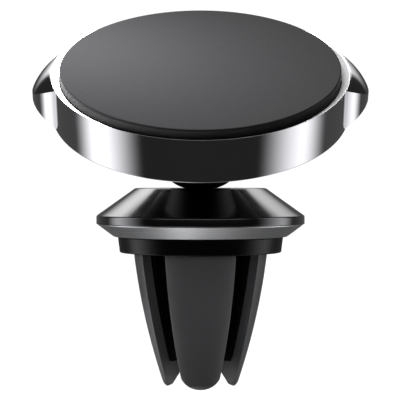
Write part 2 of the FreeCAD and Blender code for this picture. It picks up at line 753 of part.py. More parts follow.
doc.recompute()
for item in doc.Objects:
    if "Invalid" in item.State or "Error" in item.State:
        raise RuntimeError(f"{item.Label} failed: {item.State}")
for item in SUBPARTS:
    if item.Shape.isNull() or not item.Shape.isValid():
        raise RuntimeError(f"{item.Label} has no valid shape")

os.makedirs("parts", exist_ok=True)
for item in SUBPARTS:
    item.Shape.exportStep(f"parts/{item.Label}.step")
    print(f"{item.Label}: {len(item.Shape.Solids)} solid(s), {item.Shape.Volume:.2f} mm3")
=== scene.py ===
# %% [markdown]
# # A magnetic phone mount for an air vent
# The object is small and glossy: a dark chrome ring with a soft disc in it, a black cone nut with
# a brushed edge under it, and a clip of four rubber-covered prongs. What makes it look real is
# the way its turned parts catch the light, so most of the lesson is about turning clean profiles,
# rounding their edges and giving each metal and plastic its own finish.
#
# The engineering model is loaded first. It fixes every size and every moving part, and the pieces
# made here take its place where they need rounder edges or a finer surface.

# %% Load the frame
import json
import math

import bmesh
import bpy
from mathutils import Matrix, Vector


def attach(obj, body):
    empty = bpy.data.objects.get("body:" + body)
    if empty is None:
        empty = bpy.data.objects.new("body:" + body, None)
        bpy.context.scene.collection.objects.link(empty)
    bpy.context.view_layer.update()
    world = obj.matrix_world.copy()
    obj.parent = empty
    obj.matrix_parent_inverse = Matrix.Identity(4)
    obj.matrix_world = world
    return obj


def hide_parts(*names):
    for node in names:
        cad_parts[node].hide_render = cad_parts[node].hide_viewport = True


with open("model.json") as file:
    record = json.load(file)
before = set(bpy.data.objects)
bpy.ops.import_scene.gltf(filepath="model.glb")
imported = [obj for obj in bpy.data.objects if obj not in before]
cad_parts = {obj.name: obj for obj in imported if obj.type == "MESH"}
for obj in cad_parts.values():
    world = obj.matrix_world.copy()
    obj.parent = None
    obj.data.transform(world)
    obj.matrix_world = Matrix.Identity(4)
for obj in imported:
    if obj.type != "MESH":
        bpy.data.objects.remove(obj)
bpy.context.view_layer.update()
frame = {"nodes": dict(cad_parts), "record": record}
nodes = frame["nodes"]
joints = {joint["name"]: joint for joint in frame["record"]["behaviour"]["joints"]}

# %% [markdown]
# Sizes are named in millimetres, because that is how a small part is thought of, and one factor
# turns them to metres. The ball's centre and the lean of the head come from the frame: the head
# spins about its own axis, and that joint's place and axis are all that is needed to stand a
# piece, turned upright at the origin, on the leaning head.

# %% Units and places
MM = 0.001
TURN_STEPS = 192
FINE_STEPS = 256
UP = Vector((0, 0, 1))

ball_centre = Vector(joints["head_spin"]["pos_m"])
head_axis = Vector(joints["head_spin"]["axis"]).normalized()
lean = UP.rotation_difference(head_axis).to_matrix().to_4x4()
ON_HEAD = Matrix.Translation(ball_centre) @ lean
ON_CLIP = Matrix.Identity(4)
ball_height = ball_centre.z / MM
print("ball's centre at", round(ball_height, 3), "mm, head leans",
      round(math.degrees(head_axis.angle(UP)), 2), "degrees")

# %% [markdown]
# ## Turning a piece
# Nearly every piece of the mount is turned: a closed outline, half of the section, spun once
# round the axis. The outline's corners are listed, and a corner that the real piece has
# rounded carries the size of its rounding. The corner's circle of edges is bevelled after the
# spin, because bevel needs faces on both sides of an edge. A long curve in an outline is made by
# spinning a single vertex about the curve's centre, which leaves a chain of short edges.
#
# Smooth shading alone would smear a highlight from each rounded edge over the flat face beside
# it. The Weighted Normal modifier lets the large faces keep their own direction, so the
# highlight stays in the bevel, as on a machined part.


# %% Tools for turned pieces
SAME_POINT = 1e-4
NO_LENGTH = 1e-5
ARC_STEP_DEGREES = 3
ARC_STEP_MM = 1.5
ROUND_SEGMENTS = 4
FACE_WEIGHT = 80


def last_vertex(made):
    """The vertex in which a spin of a single vertex ends."""
    return [item for item in made["geom_last"] if isinstance(item, bmesh.types.BMVert)][0]


def add_outline(bm, corners):
    """Closed outline in the XZ plane. A corner is (radius, level, rounding, bow), where bow is
    the radius of an arc to the next corner: positive bulges to the left of the way."""
    first = last = bm.verts.new((corners[0][0], 0, corners[0][1]))
    for here, after in zip(corners, corners[1:] + corners[:1]):
        start = Vector((here[0], 0, here[1]))
        end = Vector((after[0], 0, after[1]))
        bow = here[3] if len(here) > 3 else 0
        if bow:
            last = add_arc(bm, last, start, end, bow)
        if after is corners[0]:
            if (last.co - first.co).length > NO_LENGTH:
                bm.edges.new((last, first))
            continue
        if not bow:
            corner = bm.verts.new(end)
            bm.edges.new((last, corner))
            last = corner


def add_arc(bm, vertex, start, end, bow):
    """Spin a vertex along the arc from start to end and return the last vertex."""
    chord = end - start
    left = Vector((-chord.z, 0, chord.x)).normalized()
    side = math.copysign(1, bow)
    rise = math.sqrt(bow * bow - chord.length_squared / 4)
    centre = (start + end) / 2 - left * rise * side
    angle = 2 * math.asin(chord.length / 2 / abs(bow)) * side
    steps = max(4, round(math.degrees(abs(angle)) / ARC_STEP_DEGREES),
                round(chord.length / ARC_STEP_MM))
    made = bmesh.ops.spin(bm, geom=[vertex], cent=centre, axis=(0, 1, 0), dvec=(0, 0, 0),
                          angle=angle, steps=steps, use_merge=False, use_duplicate=False)
    return last_vertex(made)


def reach(vertex):
    """Distance of a vertex from the axis."""
    return math.hypot(vertex.co.x, vertex.co.y)


def bevel(bm, edges, width, segments):
    bmesh.ops.bevel(bm, geom=edges, offset=width, offset_type="OFFSET", segments=segments,
                    profile=0.5, affect="EDGES", material=-1, clamp_overlap=True)


def round_circle(bm, radius, level, rounding):
    """Bevel the circle of edges that a corner of the outline has drawn."""
    close = 2 * SAME_POINT
    edges = [edge for edge in bm.edges
             if all(abs(reach(v) - radius) < close and abs(v.co.z - level) < close
                    for v in edge.verts)]
    bevel(bm, edges, rounding, ROUND_SEGMENTS)


def turn(corners, steps=TURN_STEPS):
    """Spin an outline once round Z and round its corners. Sizes are millimetres."""
    bm = bmesh.new()
    add_outline(bm, corners)
    bmesh.ops.spin(bm, geom=bm.verts[:] + bm.edges[:], cent=(0, 0, 0), axis=(0, 0, 1),
                   dvec=(0, 0, 0), angle=math.tau, steps=steps, use_merge=True,
                   use_duplicate=False)
    bmesh.ops.remove_doubles(bm, verts=bm.verts, dist=SAME_POINT)
    bmesh.ops.dissolve_degenerate(bm, edges=bm.edges, dist=NO_LENGTH)
    bmesh.ops.recalc_face_normals(bm, faces=bm.faces)
    for corner in corners:
        if len(corner) > 2 and corner[2]:
            round_circle(bm, *corner[:3])
    return bm


def finish_piece(bm, name, body, stands_for, place=ON_CLIP):
    """Scale to metres, put in place, tie the piece to its body and hide the CAD nodes it stands
    for.
    """
    bmesh.ops.transform(bm, matrix=place @ Matrix.Scale(MM, 4), verts=bm.verts)
    mesh = bpy.data.meshes.new(name)
    bm.to_mesh(mesh)
    bm.free()
    mesh.shade_smooth()
    piece = bpy.data.objects.new(name, mesh)
    bpy.context.collection.objects.link(piece)
    modifier = piece.modifiers.new("even_shading", "WEIGHTED_NORMAL")
    modifier.keep_sharp = True
    modifier.weight = FACE_WEIGHT
    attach(piece, body)
    if stands_for:
        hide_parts(*stands_for)
    return piece


# %% [markdown]
# Where two turned or flat-sided shapes meet in one piece, such as the ears on the ring, a
# Boolean modifier cuts one with the other. The result is read back as a plain mesh at once, so
# that the piece that is left has no hidden helper behind it.


# %% Cutting one shape with another
SOFT_SEGMENTS = 3
CUT_SEAM = 0.01


def combine(bm, tool_bm, operation):
    """Boolean of two bmeshes, given back as a new bmesh."""
    objects = []
    for number, source in enumerate((bm, tool_bm)):
        mesh = bpy.data.meshes.new(f"cut_{number}")
        source.to_mesh(mesh)
        source.free()
        item = bpy.data.objects.new(f"cut_{number}", mesh)
        bpy.context.collection.objects.link(item)
        objects.append(item)
    modifier = objects[0].modifiers.new("cut", "BOOLEAN")
    modifier.operation = operation
    modifier.solver = "EXACT"
    modifier.object = objects[1]
    graph = bpy.context.evaluated_depsgraph_get()
    result = bpy.data.meshes.new_from_object(objects[0].evaluated_get(graph))
    made = bmesh.new()
    made.from_mesh(result)
    for item in objects:
        mesh = item.data
        bpy.data.objects.remove(item)
        bpy.data.meshes.remove(mesh)
    bpy.data.meshes.remove(result)
    return made


def soften_edges(bm, width, limit_degrees, outside=0):
    """Bevel every edge that is sharper than the limit and further out than a radius."""
    limit = math.radians(limit_degrees)
    edges = [edge for edge in bm.edges
             if len(edge.link_faces) == 2 and edge.calc_face_angle(0) > limit
             and all(reach(v) > outside for v in edge.verts)]
    bevel(bm, edges, width, SOFT_SEGMENTS)


# %% [markdown]
# ## The head
# Levels on the head run along its axis from the ball's centre. The soft disc stands a little
# proud of the ring, with a small rounding at its edge, and its side wall is the thin dark line
# between disc and ring.

# %% The soft disc
PAD_FACE = 24.74
PAD_RADIUS = 19.55
PAD_THICKNESS = 1.6
PAD_EDGE = 0.22
RING_TOP = 23.93
RING_HEIGHT = 6.3
RING_BOTTOM = RING_TOP - RING_HEIGHT
RING_RADIUS = 20.8
RING_BORE = 19.4
PAD_FOOT = PAD_FACE - PAD_THICKNESS

pad_bm = turn([(0, PAD_FOOT), (PAD_RADIUS, PAD_FOOT), (PAD_RADIUS, PAD_FACE, PAD_EDGE),
               (0, PAD_FACE)])
pad = finish_piece(pad_bm, "soft_disc", "head", ["face_pad"], ON_HEAD)
print("soft disc:", len(pad.data.polygons), "faces")

# %% [markdown]
# The ring is a zinc casting, polished and plated. Its rim slopes down inwards like a shallow
# funnel, and that slope is the bright crescent beside the disc. The outer wall ends in a small
# rounding below and a crisp edge above.

# %% The ring
RIM_SLOPE = 0.75
PAD_GAP = 0.1
RIM_BORE = PAD_RADIUS + PAD_GAP
RIM_EDGE = 0.04
RIM_FACING = (0.75, 0.95)
RING_FOOT_EDGE = 0.15
LIP_WIDTH = 2.4
LIP_BORE = RING_RADIUS - LIP_WIDTH
LIP_EDGE = 0.1
TAPE_THICKNESS = 0.15
LIP_TOP = PAD_FOOT - TAPE_THICKNESS
LIP_THICKNESS = 0.9
LIP_FOOT = LIP_TOP - LIP_THICKNESS

ring_bm = turn([
    (LIP_BORE, LIP_FOOT, LIP_EDGE), (LIP_BORE, LIP_TOP, LIP_EDGE), (RIM_BORE, LIP_TOP),
    (RIM_BORE, RING_TOP - RIM_SLOPE, RIM_EDGE), (RING_RADIUS, RING_TOP, RIM_EDGE),
    (RING_RADIUS, RING_BOTTOM, RING_FOOT_EDGE), (RING_BORE, RING_BOTTOM, LIP_EDGE),
    (RING_BORE, LIP_FOOT)], steps=FINE_STEPS)
for face in ring_bm.faces:
    middle = face.calc_center_median()
    inside = math.hypot(*middle.xy) < RING_RADIUS - PAD_GAP
    above = middle.z > RING_TOP - RIM_SLOPE
    if inside and above and RIM_FACING[0] < face.normal.z < RIM_FACING[1]:
        face.material_index = 1
ring = finish_piece(ring_bm, "ring_band", "head", ["head_ring"], ON_HEAD)

# %% [markdown]
# Each ear is part of the same casting: a small lobe seen from above, with a top that falls away
# outwards in a gentle curve and an underside that rises to meet it. It is the shape that a round
# lobe and a turned crown have in common, so it is made as just that, with its edges softened.

# %% The ears
EAR_REACH = 2.75
EAR_OUTLINE = 7.2
EAR_DROP = 0.17
EAR_RISE = 2.45
EAR_SIDE = 1.0
EAR_CURVE = 7.5
EAR_BELLY = 15.0
EAR_TIP = RING_RADIUS + EAR_REACH
EAR_OVERLAP = 0.2
EAR_CORE = RING_RADIUS - EAR_OVERLAP
EAR_FOOT = RING_BOTTOM + 0.4
EAR_EDGE = 0.12
EAR_EDGE_LIMIT = 32
LOBE_SEGMENTS = 160


def make_ear(side):
    tip_foot = RING_BOTTOM + EAR_RISE
    crown = turn([
        (EAR_CORE, EAR_FOOT), (RING_RADIUS, EAR_FOOT, 0, -EAR_BELLY), (EAR_TIP, tip_foot),
        (EAR_TIP, tip_foot + EAR_SIDE, 0, -EAR_CURVE), (RING_RADIUS, RING_TOP - EAR_DROP),
        (EAR_CORE, RING_TOP - EAR_DROP)], steps=FINE_STEPS)
    lobe = bmesh.new()
    centre = Matrix.Translation(((EAR_TIP - EAR_OUTLINE) * side, 0, RING_TOP - RING_HEIGHT / 2))
    bmesh.ops.create_cone(lobe, cap_ends=True, cap_tris=False, segments=LOBE_SEGMENTS,
                          radius1=EAR_OUTLINE, radius2=EAR_OUTLINE, depth=RING_HEIGHT * 2,
                          matrix=centre)
    ear = combine(crown, lobe, "INTERSECT")
    bmesh.ops.remove_doubles(ear, verts=ear.verts, dist=CUT_SEAM)
    soften_edges(ear, EAR_EDGE, EAR_EDGE_LIMIT, outside=RING_RADIUS + 0.15)
    bmesh.ops.recalc_face_normals(ear, faces=ear.faces)
    return ear


for side_name, side in (("left", -1), ("right", 1)):
    finish_piece(make_ear(side), f"ear_{side_name}", "head", None, ON_HEAD)

# %% [markdown]
# The back cover is a black moulding: a shallow dome that narrows to a sleeve round the stud. Its
# three screws sit in round recesses, cut by pins of the recess's size.

# %% The back cover and its screws
COVER_SEAT = 19.35
COVER_WALL = 1.6
COVER_DOME = 34.0
NECK_END = 9.4
NECK_RADIUS = 5.4
SHOULDER_RADIUS = 8.2
SHOULDER_LEVEL = 13.4
SPIGOT_RADIUS = 3.3
TRAY_THICKNESS = 3.4
YOKE_THICKNESS = 0.8
YOKE_FOOT = LIP_TOP - TRAY_THICKNESS - YOKE_THICKNESS
COVER_SEAM = 0.002
SCREW_COUNT = 3
FIRST_SCREW = 90
SCREW_CIRCLE = 15.6
SCREW_LEVEL = 17.0
SCREW_HEAD = 1.45
SCREW_CAP = 0.8
SCREW_DOME = 0.35
SCREW_SHANK = 0.7
SCREW_LENGTH = 3.6
RECESS_GAP = 0.1
CROSS_LENGTH = 1.6
CROSS_BREADTH = 0.35
PIN_SEGMENTS = 48


def pin(radius, low, high, across, along):
    """Upright round pin between two levels."""
    bm = bmesh.new()
    middle = Matrix.Translation((across, along, (low + high) / 2))
    bmesh.ops.create_cone(bm, cap_ends=True, cap_tris=False, segments=PIN_SEGMENTS,
                          radius1=radius, radius2=radius, depth=high - low, matrix=middle)
    return bm


def screw_places():
    for number in range(SCREW_COUNT):
        angle = math.radians(FIRST_SCREW + 360 / SCREW_COUNT * number)
        yield SCREW_CIRCLE * math.cos(angle), SCREW_CIRCLE * math.sin(angle)


cover_bm = turn([
    (SPIGOT_RADIUS, NECK_END, 0.1), (NECK_RADIUS, NECK_END, 0.5),
    (SHOULDER_RADIUS, SHOULDER_LEVEL, 0.8, -COVER_DOME), (COVER_SEAT, RING_BOTTOM, 0.25),
    (COVER_SEAT, YOKE_FOOT), (COVER_SEAT - COVER_WALL, YOKE_FOOT),
    (COVER_SEAT - COVER_WALL, RING_BOTTOM + COVER_WALL / 4),
    (SHOULDER_RADIUS - COVER_WALL / 2, SHOULDER_LEVEL + COVER_WALL),
    (SPIGOT_RADIUS, SHOULDER_LEVEL + COVER_WALL)])
for across, along in screw_places():
    recess_bm = pin(SCREW_HEAD + RECESS_GAP, SHOULDER_LEVEL, SCREW_LEVEL, across, along)
    cover_bm = combine(cover_bm, recess_bm, "DIFFERENCE")
bmesh.ops.remove_doubles(cover_bm, verts=cover_bm.verts, dist=COVER_SEAM)
finish_piece(cover_bm, "cover_shell", "head", ["back_cover"], ON_HEAD)

# %% [markdown]
# A screw head of this size is a low dome with a cross pressed into it. The cross is two thin
# boxes taken away, and the whole head is one small mesh repeated at the three places.

# %% Screw heads
screw_bm = bmesh.new()
for across, along in screw_places():
    head_bm = turn([
        (0, SCREW_LEVEL - SCREW_CAP), (SCREW_HEAD, SCREW_LEVEL - SCREW_CAP, SCREW_DOME),
        (SCREW_HEAD, SCREW_LEVEL), (SCREW_SHANK, SCREW_LEVEL),
        (SCREW_SHANK, SCREW_LEVEL + SCREW_LENGTH), (0, SCREW_LEVEL + SCREW_LENGTH)],
        steps=PIN_SEGMENTS)
    for length, breadth in ((CROSS_LENGTH, CROSS_BREADTH), (CROSS_BREADTH, CROSS_LENGTH)):
        slot_bm = bmesh.new()
        bmesh.ops.create_cube(slot_bm, size=1)
        bmesh.ops.scale(slot_bm, vec=(length, breadth, SCREW_CAP), verts=slot_bm.verts)
        bmesh.ops.translate(slot_bm, vec=(0, 0, SCREW_LEVEL - SCREW_CAP), verts=slot_bm.verts)
        head_bm = combine(head_bm, slot_bm, "DIFFERENCE")
    bmesh.ops.translate(head_bm, vec=(across, along, 0), verts=head_bm.verts)
    spare = bpy.data.meshes.new("screw")
    head_bm.to_mesh(spare)
    head_bm.free()
    screw_bm.from_mesh(spare)
    bpy.data.meshes.remove(spare)
finish_piece(screw_bm, "cross_screws", "head", ["cover_screws"], ON_HEAD)

# %% [markdown]
# ## The ball and its neck
# The neck is turned from one bar: a thin waist above the ball, a flare, and a boss that
# disappears into the back cover. The ball itself shows only from behind, through the nut's
# mouth, but there it is the brightest thing, so it gets a finer mesh than the frame's.

# %% Neck, ball and thrust ring
BALL_RADIUS = 5.0
NECK_WAIST = 2.35
BOSS_RADIUS = 4.8
FLARE_LEVEL = 5.8
BOSS_LEVEL = 7.5
SCREW_BORE = 1.3
BALL_FLAT = math.sqrt(BALL_RADIUS ** 2 - NECK_WAIST ** 2)
CAP_BORE = 2.3
CAP_SEAT = math.sqrt(BALL_RADIUS ** 2 - CAP_BORE ** 2)
BORE_LEVEL = -2.35
RUNNING_GAP = 0.05
neck_foot = BALL_FLAT + RUNNING_GAP

neck_bm = turn([
    (SCREW_BORE, neck_foot), (NECK_WAIST, neck_foot), (NECK_WAIST, FLARE_LEVEL, 0.3),
    (BOSS_RADIUS, BOSS_LEVEL, 0.12), (BOSS_RADIUS, NECK_END), (SPIGOT_RADIUS, NECK_END),
    (SPIGOT_RADIUS, YOKE_FOOT), (SCREW_BORE, YOKE_FOOT)])
finish_piece(neck_bm, "neck", "head", ["neck_stud"], ON_HEAD)

ball_bm = turn([
    (SCREW_BORE, BALL_FLAT), (SCREW_BORE, BORE_LEVEL), (CAP_BORE, BORE_LEVEL),
    (CAP_BORE, -CAP_SEAT, 0, -BALL_RADIUS), (BALL_RADIUS, 0, 0, -BALL_RADIUS),
    (NECK_WAIST, BALL_FLAT)])
finish_piece(ball_bm, "ball_bright", "ball", ["ball"], ON_HEAD)

SEAT_GAP = 0.08
SEAT_RADIUS = BALL_RADIUS + SEAT_GAP
THRUST_RADIUS = 8.9
THRUST_FOOT = 0.3
THRUST_EDGE = 2.1
THRUST_TOP = 2.5
THRUST_FLARE = 0.37
foot_bore = math.sqrt(SEAT_RADIUS ** 2 - THRUST_FOOT ** 2)
edge_bore = math.sqrt(SEAT_RADIUS ** 2 - THRUST_EDGE ** 2)
thrust_bm = turn([
    (foot_bore, ball_height + THRUST_FOOT), (THRUST_RADIUS, ball_height + THRUST_FOOT),
    (THRUST_RADIUS, ball_height + THRUST_TOP, 0.12),
    (edge_bore + THRUST_FLARE, ball_height + THRUST_TOP, 0.1),
    (edge_bore, ball_height + THRUST_EDGE, 0, SEAT_RADIUS)])
finish_piece(thrust_bm, "pressure_ring", "thrust", ["thrust_ring"])

# %% [markdown]
# ## The lock nut, its trim and the collar
# The nut is a steep cone over a narrow upright band. Both of the band's edges are broken by a
# tiny bevel, and each of those draws a thin line of light all the way round. Below the band is
# a separate ring with a brushed chamfer, and below that the black collar.

# %% Nut, trim and collar
NUT_TOP = 9.42
NUT_TOP_RADIUS = 9.6
NUT_RADIUS = 15.3
BAND_TOP = 5.37
BAND_FOOT = 4.16
NUT_MOUTH = 8.8
NUT_THROAT = 7.7
NUT_FOOT = 2.33
SKIRT_BORE = 10.45
SKIRT_RADIUS = 11.65
CONTACT_GAP = 0.02
LIP_LEVEL = ball_height + THRUST_TOP + CONTACT_GAP
THRUST_ROOM = ball_height + THRUST_FOOT - RUNNING_GAP
ROOM_RADIUS = THRUST_RADIUS + RUNNING_GAP
TRIM_FOOT_RADIUS = 12.76
TRIM_RADIUS = NUT_RADIUS - 0.24
TRIM_BAND = 0.12
COLLAR_BORE = 10.4
COLLAR_FOOT_RADIUS = 11.87
COLLAR_TOP_RADIUS = 12.15
COLLAR_HEIGHT = 2.26

nut_bm = turn([
    (SKIRT_BORE, NUT_FOOT), (SKIRT_RADIUS, NUT_FOOT), (SKIRT_RADIUS, BAND_FOOT),
    (NUT_RADIUS, BAND_FOOT, 0.13), (NUT_RADIUS, BAND_TOP, 0.16), (NUT_TOP_RADIUS, NUT_TOP, 0.14),
    (NUT_MOUTH, NUT_TOP, 0.12), (NUT_THROAT, LIP_LEVEL, 0.1), (ROOM_RADIUS, LIP_LEVEL),
    (ROOM_RADIUS, THRUST_ROOM), (SKIRT_BORE, THRUST_ROOM)], steps=FINE_STEPS)
finish_piece(nut_bm, "cone_nut", "nut", ["lock_nut"])

trim_bm = turn([
    (SKIRT_RADIUS, NUT_FOOT), (TRIM_FOOT_RADIUS, NUT_FOOT, 0.08),
    (TRIM_RADIUS, BAND_FOOT - TRIM_BAND, 0.05), (TRIM_RADIUS, BAND_FOOT),
    (SKIRT_RADIUS, BAND_FOOT)], steps=FINE_STEPS)
finish_piece(trim_bm, "brushed_trim", "nut", ["nut_trim"])

collar_bm = turn([
    (COLLAR_BORE, 0), (COLLAR_FOOT_RADIUS, 0, 0.15), (COLLAR_TOP_RADIUS, COLLAR_HEIGHT, 0.12),
    (COLLAR_BORE, COLLAR_HEIGHT)], steps=FINE_STEPS)
finish_piece(collar_bm, "collar_skirt", "clip", ["collar"])

# %% [markdown]
# ## The prongs
# Each prong has a hard core and a rubber sleeve over its outside. The four sleeves are quarters
# of one turned shape, so one sleeve is turned, cut by the two planes of the slots beside it, and
# given a tongue-shaped end. The slots are wider at the root than at the tip, so the planes lean.
# The other three are the same sleeve turned about the clip's axis.

# %% One rubber sleeve
PRONG_TOP = -0.16
PRONG_TIP = -19.7
ROOT_REACH = 9.8
NOSE_REACH = 5.6
NOSE_HEIGHT = 0.85
NOSE_RADIUS = 1.3
PRONG_CURVE = 95.0
SLEEVE_WALL = 1.6
SLOT_ROOT = 4.75
SLOT_TIP = 3.2
CORE_END = PRONG_TIP + 3.9
CORE_END_REACH = 4.95
CORE_END_BORE = 2.6
LEAD_IN_MOUTH = 4.85
LEAD_IN_THROAT = 3.2
LEAD_IN_HEIGHT = 1.9
TONGUE_RADIUS = 3.2
TONGUE_STEPS = 48
BLOCK_HALF = 12
BLOCK_TOP = 6
BLOCK_DEPTH = 30
SLEEVE_EDGE = 0.16
SLEEVE_EDGE_LIMIT = 40


def tongue_block():
    """Block seen along Y as a tongue: a half circle below and a wide stretch above."""
    bm = bmesh.new()
    middle = PRONG_TIP + TONGUE_RADIUS
    start = bm.verts.new((-TONGUE_RADIUS, -BLOCK_DEPTH, middle))
    made = bmesh.ops.spin(bm, geom=[start], cent=(0, -BLOCK_DEPTH, middle), axis=(0, 1, 0),
                          dvec=(0, 0, 0), angle=-math.pi, steps=TONGUE_STEPS, use_merge=False,
                          use_duplicate=False)
    last = last_vertex(made)
    for across, level in ((BLOCK_HALF, middle), (BLOCK_HALF, BLOCK_TOP),
                          (-BLOCK_HALF, BLOCK_TOP), (-BLOCK_HALF, middle)):
        corner = bm.verts.new((across, -BLOCK_DEPTH, level))
        bm.edges.new((last, corner))
        last = corner
    bm.edges.new((last, start))
    face = bmesh.ops.contextual_create(bm, geom=bm.edges[:])["faces"]
    side = bmesh.ops.extrude_face_region(bm, geom=face)
    moved = [item for item in side["geom"] if isinstance(item, bmesh.types.BMVert)]
    bmesh.ops.translate(bm, vec=(0, BLOCK_DEPTH, 0), verts=moved)
    bmesh.ops.recalc_face_normals(bm, faces=bm.faces)
    return bm


def make_sleeve():
    bm = turn([
        (ROOT_REACH, PRONG_TOP, 0, PRONG_CURVE),
        (NOSE_REACH, PRONG_TIP + NOSE_HEIGHT, 0, NOSE_RADIUS), (LEAD_IN_MOUTH, PRONG_TIP),
        (LEAD_IN_THROAT, PRONG_TIP + LEAD_IN_HEIGHT), (CORE_END_BORE, CORE_END),
        (CORE_END_REACH, CORE_END, 0, -PRONG_CURVE), (ROOT_REACH - SLEEVE_WALL, PRONG_TOP)],
        steps=FINE_STEPS)
    length = PRONG_TOP - PRONG_TIP
    slant = math.atan((SLOT_ROOT - SLOT_TIP) / 2 / length)
    for side in (-1, 1):
        flat = Vector((side, 1, 0)).normalized()
        outward = flat * math.cos(slant) + UP * math.sin(slant)
        edge_point = -flat * (SLOT_ROOT / 2) + UP * PRONG_TOP
        cut = bmesh.ops.bisect_plane(bm, geom=bm.verts[:] + bm.edges[:] + bm.faces[:],
                                     dist=NO_LENGTH, plane_co=edge_point, plane_no=outward,
                                     clear_outer=True)
        rim = [item for item in cut["geom_cut"] if isinstance(item, bmesh.types.BMEdge)]
        bmesh.ops.holes_fill(bm, edges=rim, sides=0)
    bm = combine(bm, tongue_block(), "INTERSECT")
    bmesh.ops.remove_doubles(bm, verts=bm.verts, dist=CUT_SEAM)
    soften_edges(bm, SLEEVE_EDGE, SLEEVE_EDGE_LIMIT)
    bmesh.ops.recalc_face_normals(bm, faces=bm.faces)
    return bm


for number, prong in enumerate(("front", "right", "back", "left")):
    quarter_turn = Matrix.Rotation(math.radians(90 * number), 4, "Z")
    finish_piece(make_sleeve(), f"rubber_{prong}", f"prong_{prong}",
                 [f"sleeve_{prong}"], quarter_turn)

# %% [markdown]
# ## Finishes
# Colours are written as the hex values that a colour picker shows, and one function turns them
# to the linear values that the shader works in. Another function adds a node, sets what it is
# told and links what it is given, so that each material below reads as a short recipe.


# %% Colour and node helpers
def colour(hex_value):
    channels = []
    for shift in (16, 8, 0):
        value = ((hex_value >> shift) & 0xFF) / 255
        channels.append(value / 12.92 if value <= 0.04045 else ((value + 0.055) / 1.055) ** 2.4)
    return (*channels, 1.0)


def add_node(tree, kind, links=(), values=(), **settings):
    """Add a node, set its properties and sockets, and link sockets to other nodes' outputs."""
    node = tree.nodes.new(kind)
    for key, value in settings.items():
        setattr(node, key, value)
    for socket, value in dict(values).items():
        node.inputs[socket].default_value = value
    for socket, output in dict(links).items():
        tree.links.new(output, node.inputs[socket])
    return node


def new_finish(name, base, metallic, roughness, values=()):
    """Material with a Principled shader; gives back the material, its tree and the shader."""
    material = bpy.data.materials.new(name)
    material.use_nodes = True
    tree = material.node_tree
    shader = tree.nodes["Principled BSDF"]
    shader.inputs["Base Color"].default_value = colour(base)
    shader.inputs["Metallic"].default_value = metallic
    shader.inputs["Roughness"].default_value = roughness
    for socket, value in dict(values).items():
        shader.inputs[socket].default_value = value
    return material, tree, shader


def grain(tree, size_mm):
    """Noise with grains of a real size, on the object's own coordinates."""
    place = add_node(tree, "ShaderNodeTexCoord")
    noise = add_node(tree, "ShaderNodeTexNoise", {"Vector": place.outputs["Object"]},
                     {"Scale": 1 / (size_mm * MM), "Detail": 3.0, "Roughness": 0.6})
    return noise.outputs["Fac"]


def add_bump(tree, shader, height, depth_mm, strength=0.5):
    bump = add_node(tree, "ShaderNodeBump", {"Height": height},
                    {"Strength": strength, "Distance": depth_mm * MM})
    tree.links.new(bump.outputs["Normal"], shader.inputs["Normal"])


def vary(tree, factor, low, high, shader, socket):
    """Spread a factor between two values and feed a shader socket."""
    spread = add_node(tree, "ShaderNodeMapRange", {"Value": factor},
                      {"From Min": 0.3, "From Max": 0.7, "To Min": low, "To Max": high})
    tree.links.new(spread.outputs["Result"], shader.inputs[socket])


# %% [markdown]
# **Soft disc.** Thermoplastic rubber with a fine leather-like tooth from the mould, about a
# sixth of a millimetre. It is matt and gives back very little light as a mirror.

# %% Disc rubber
disc_finish, tree, shader = new_finish("moulded_disc_rubber", 0x161617, 0.0, 0.62,
                                       {"IOR": 1.5, "Specular IOR Level": 0.1})
tooth = grain(tree, 0.16)
add_bump(tree, shader, tooth, 0.02, strength=0.6)
vary(tree, tooth, 0.55, 0.7, shader, "Roughness")

# %% [markdown]
# **Dark chrome.** Polished zinc with a black nickel plate: a mirror that gives back about half
# of the light, with the faint haze of fingerprints and polishing.

# %% Dark chrome
chrome_finish, tree, shader = new_finish("black_nickel_plate", 0xA9A9AC, 1.0, 0.07)
vary(tree, grain(tree, 3.0), 0.05, 0.1, shader, "Roughness")

# %% [markdown]
# **Cut rim.** After plating, the sloped rim is turned away again with a diamond, which leaves
# bare bright metal with very fine tool marks. They spread the light, so this slope shines from
# nearly every side, unlike the mirror below it.

# %% Cut rim
cut_finish, tree, shader = new_finish("diamond_cut_rim", 0xF4F4F5, 0.2, 0.5)
vary(tree, grain(tree, 0.5), 0.45, 0.55, shader, "Roughness")

# %% [markdown]
# **Gloss gunmetal.** The cone nut has the same kind of plate, much darker, under a clear
# lacquer. The lacquer gives the crisp highlight and the metal under it a softer one.

# %% Gloss gunmetal
nut_finish, tree, shader = new_finish("lacquered_gunmetal", 0x3A3A3D, 1.0, 0.16,
                                      {"Coat Weight": 1.0, "Coat Roughness": 0.03})
vary(tree, grain(tree, 2.0), 0.13, 0.2, shader, "Roughness")

# %% [markdown]
# **Brushed aluminium.** The trim is turned bright and brushed while it spins, so its fine lines
# run round the axis. Distance from the axis and height are the same all along such a line, so
# noise read from those two values alone makes rings, and an anisotropic highlight goes with it.

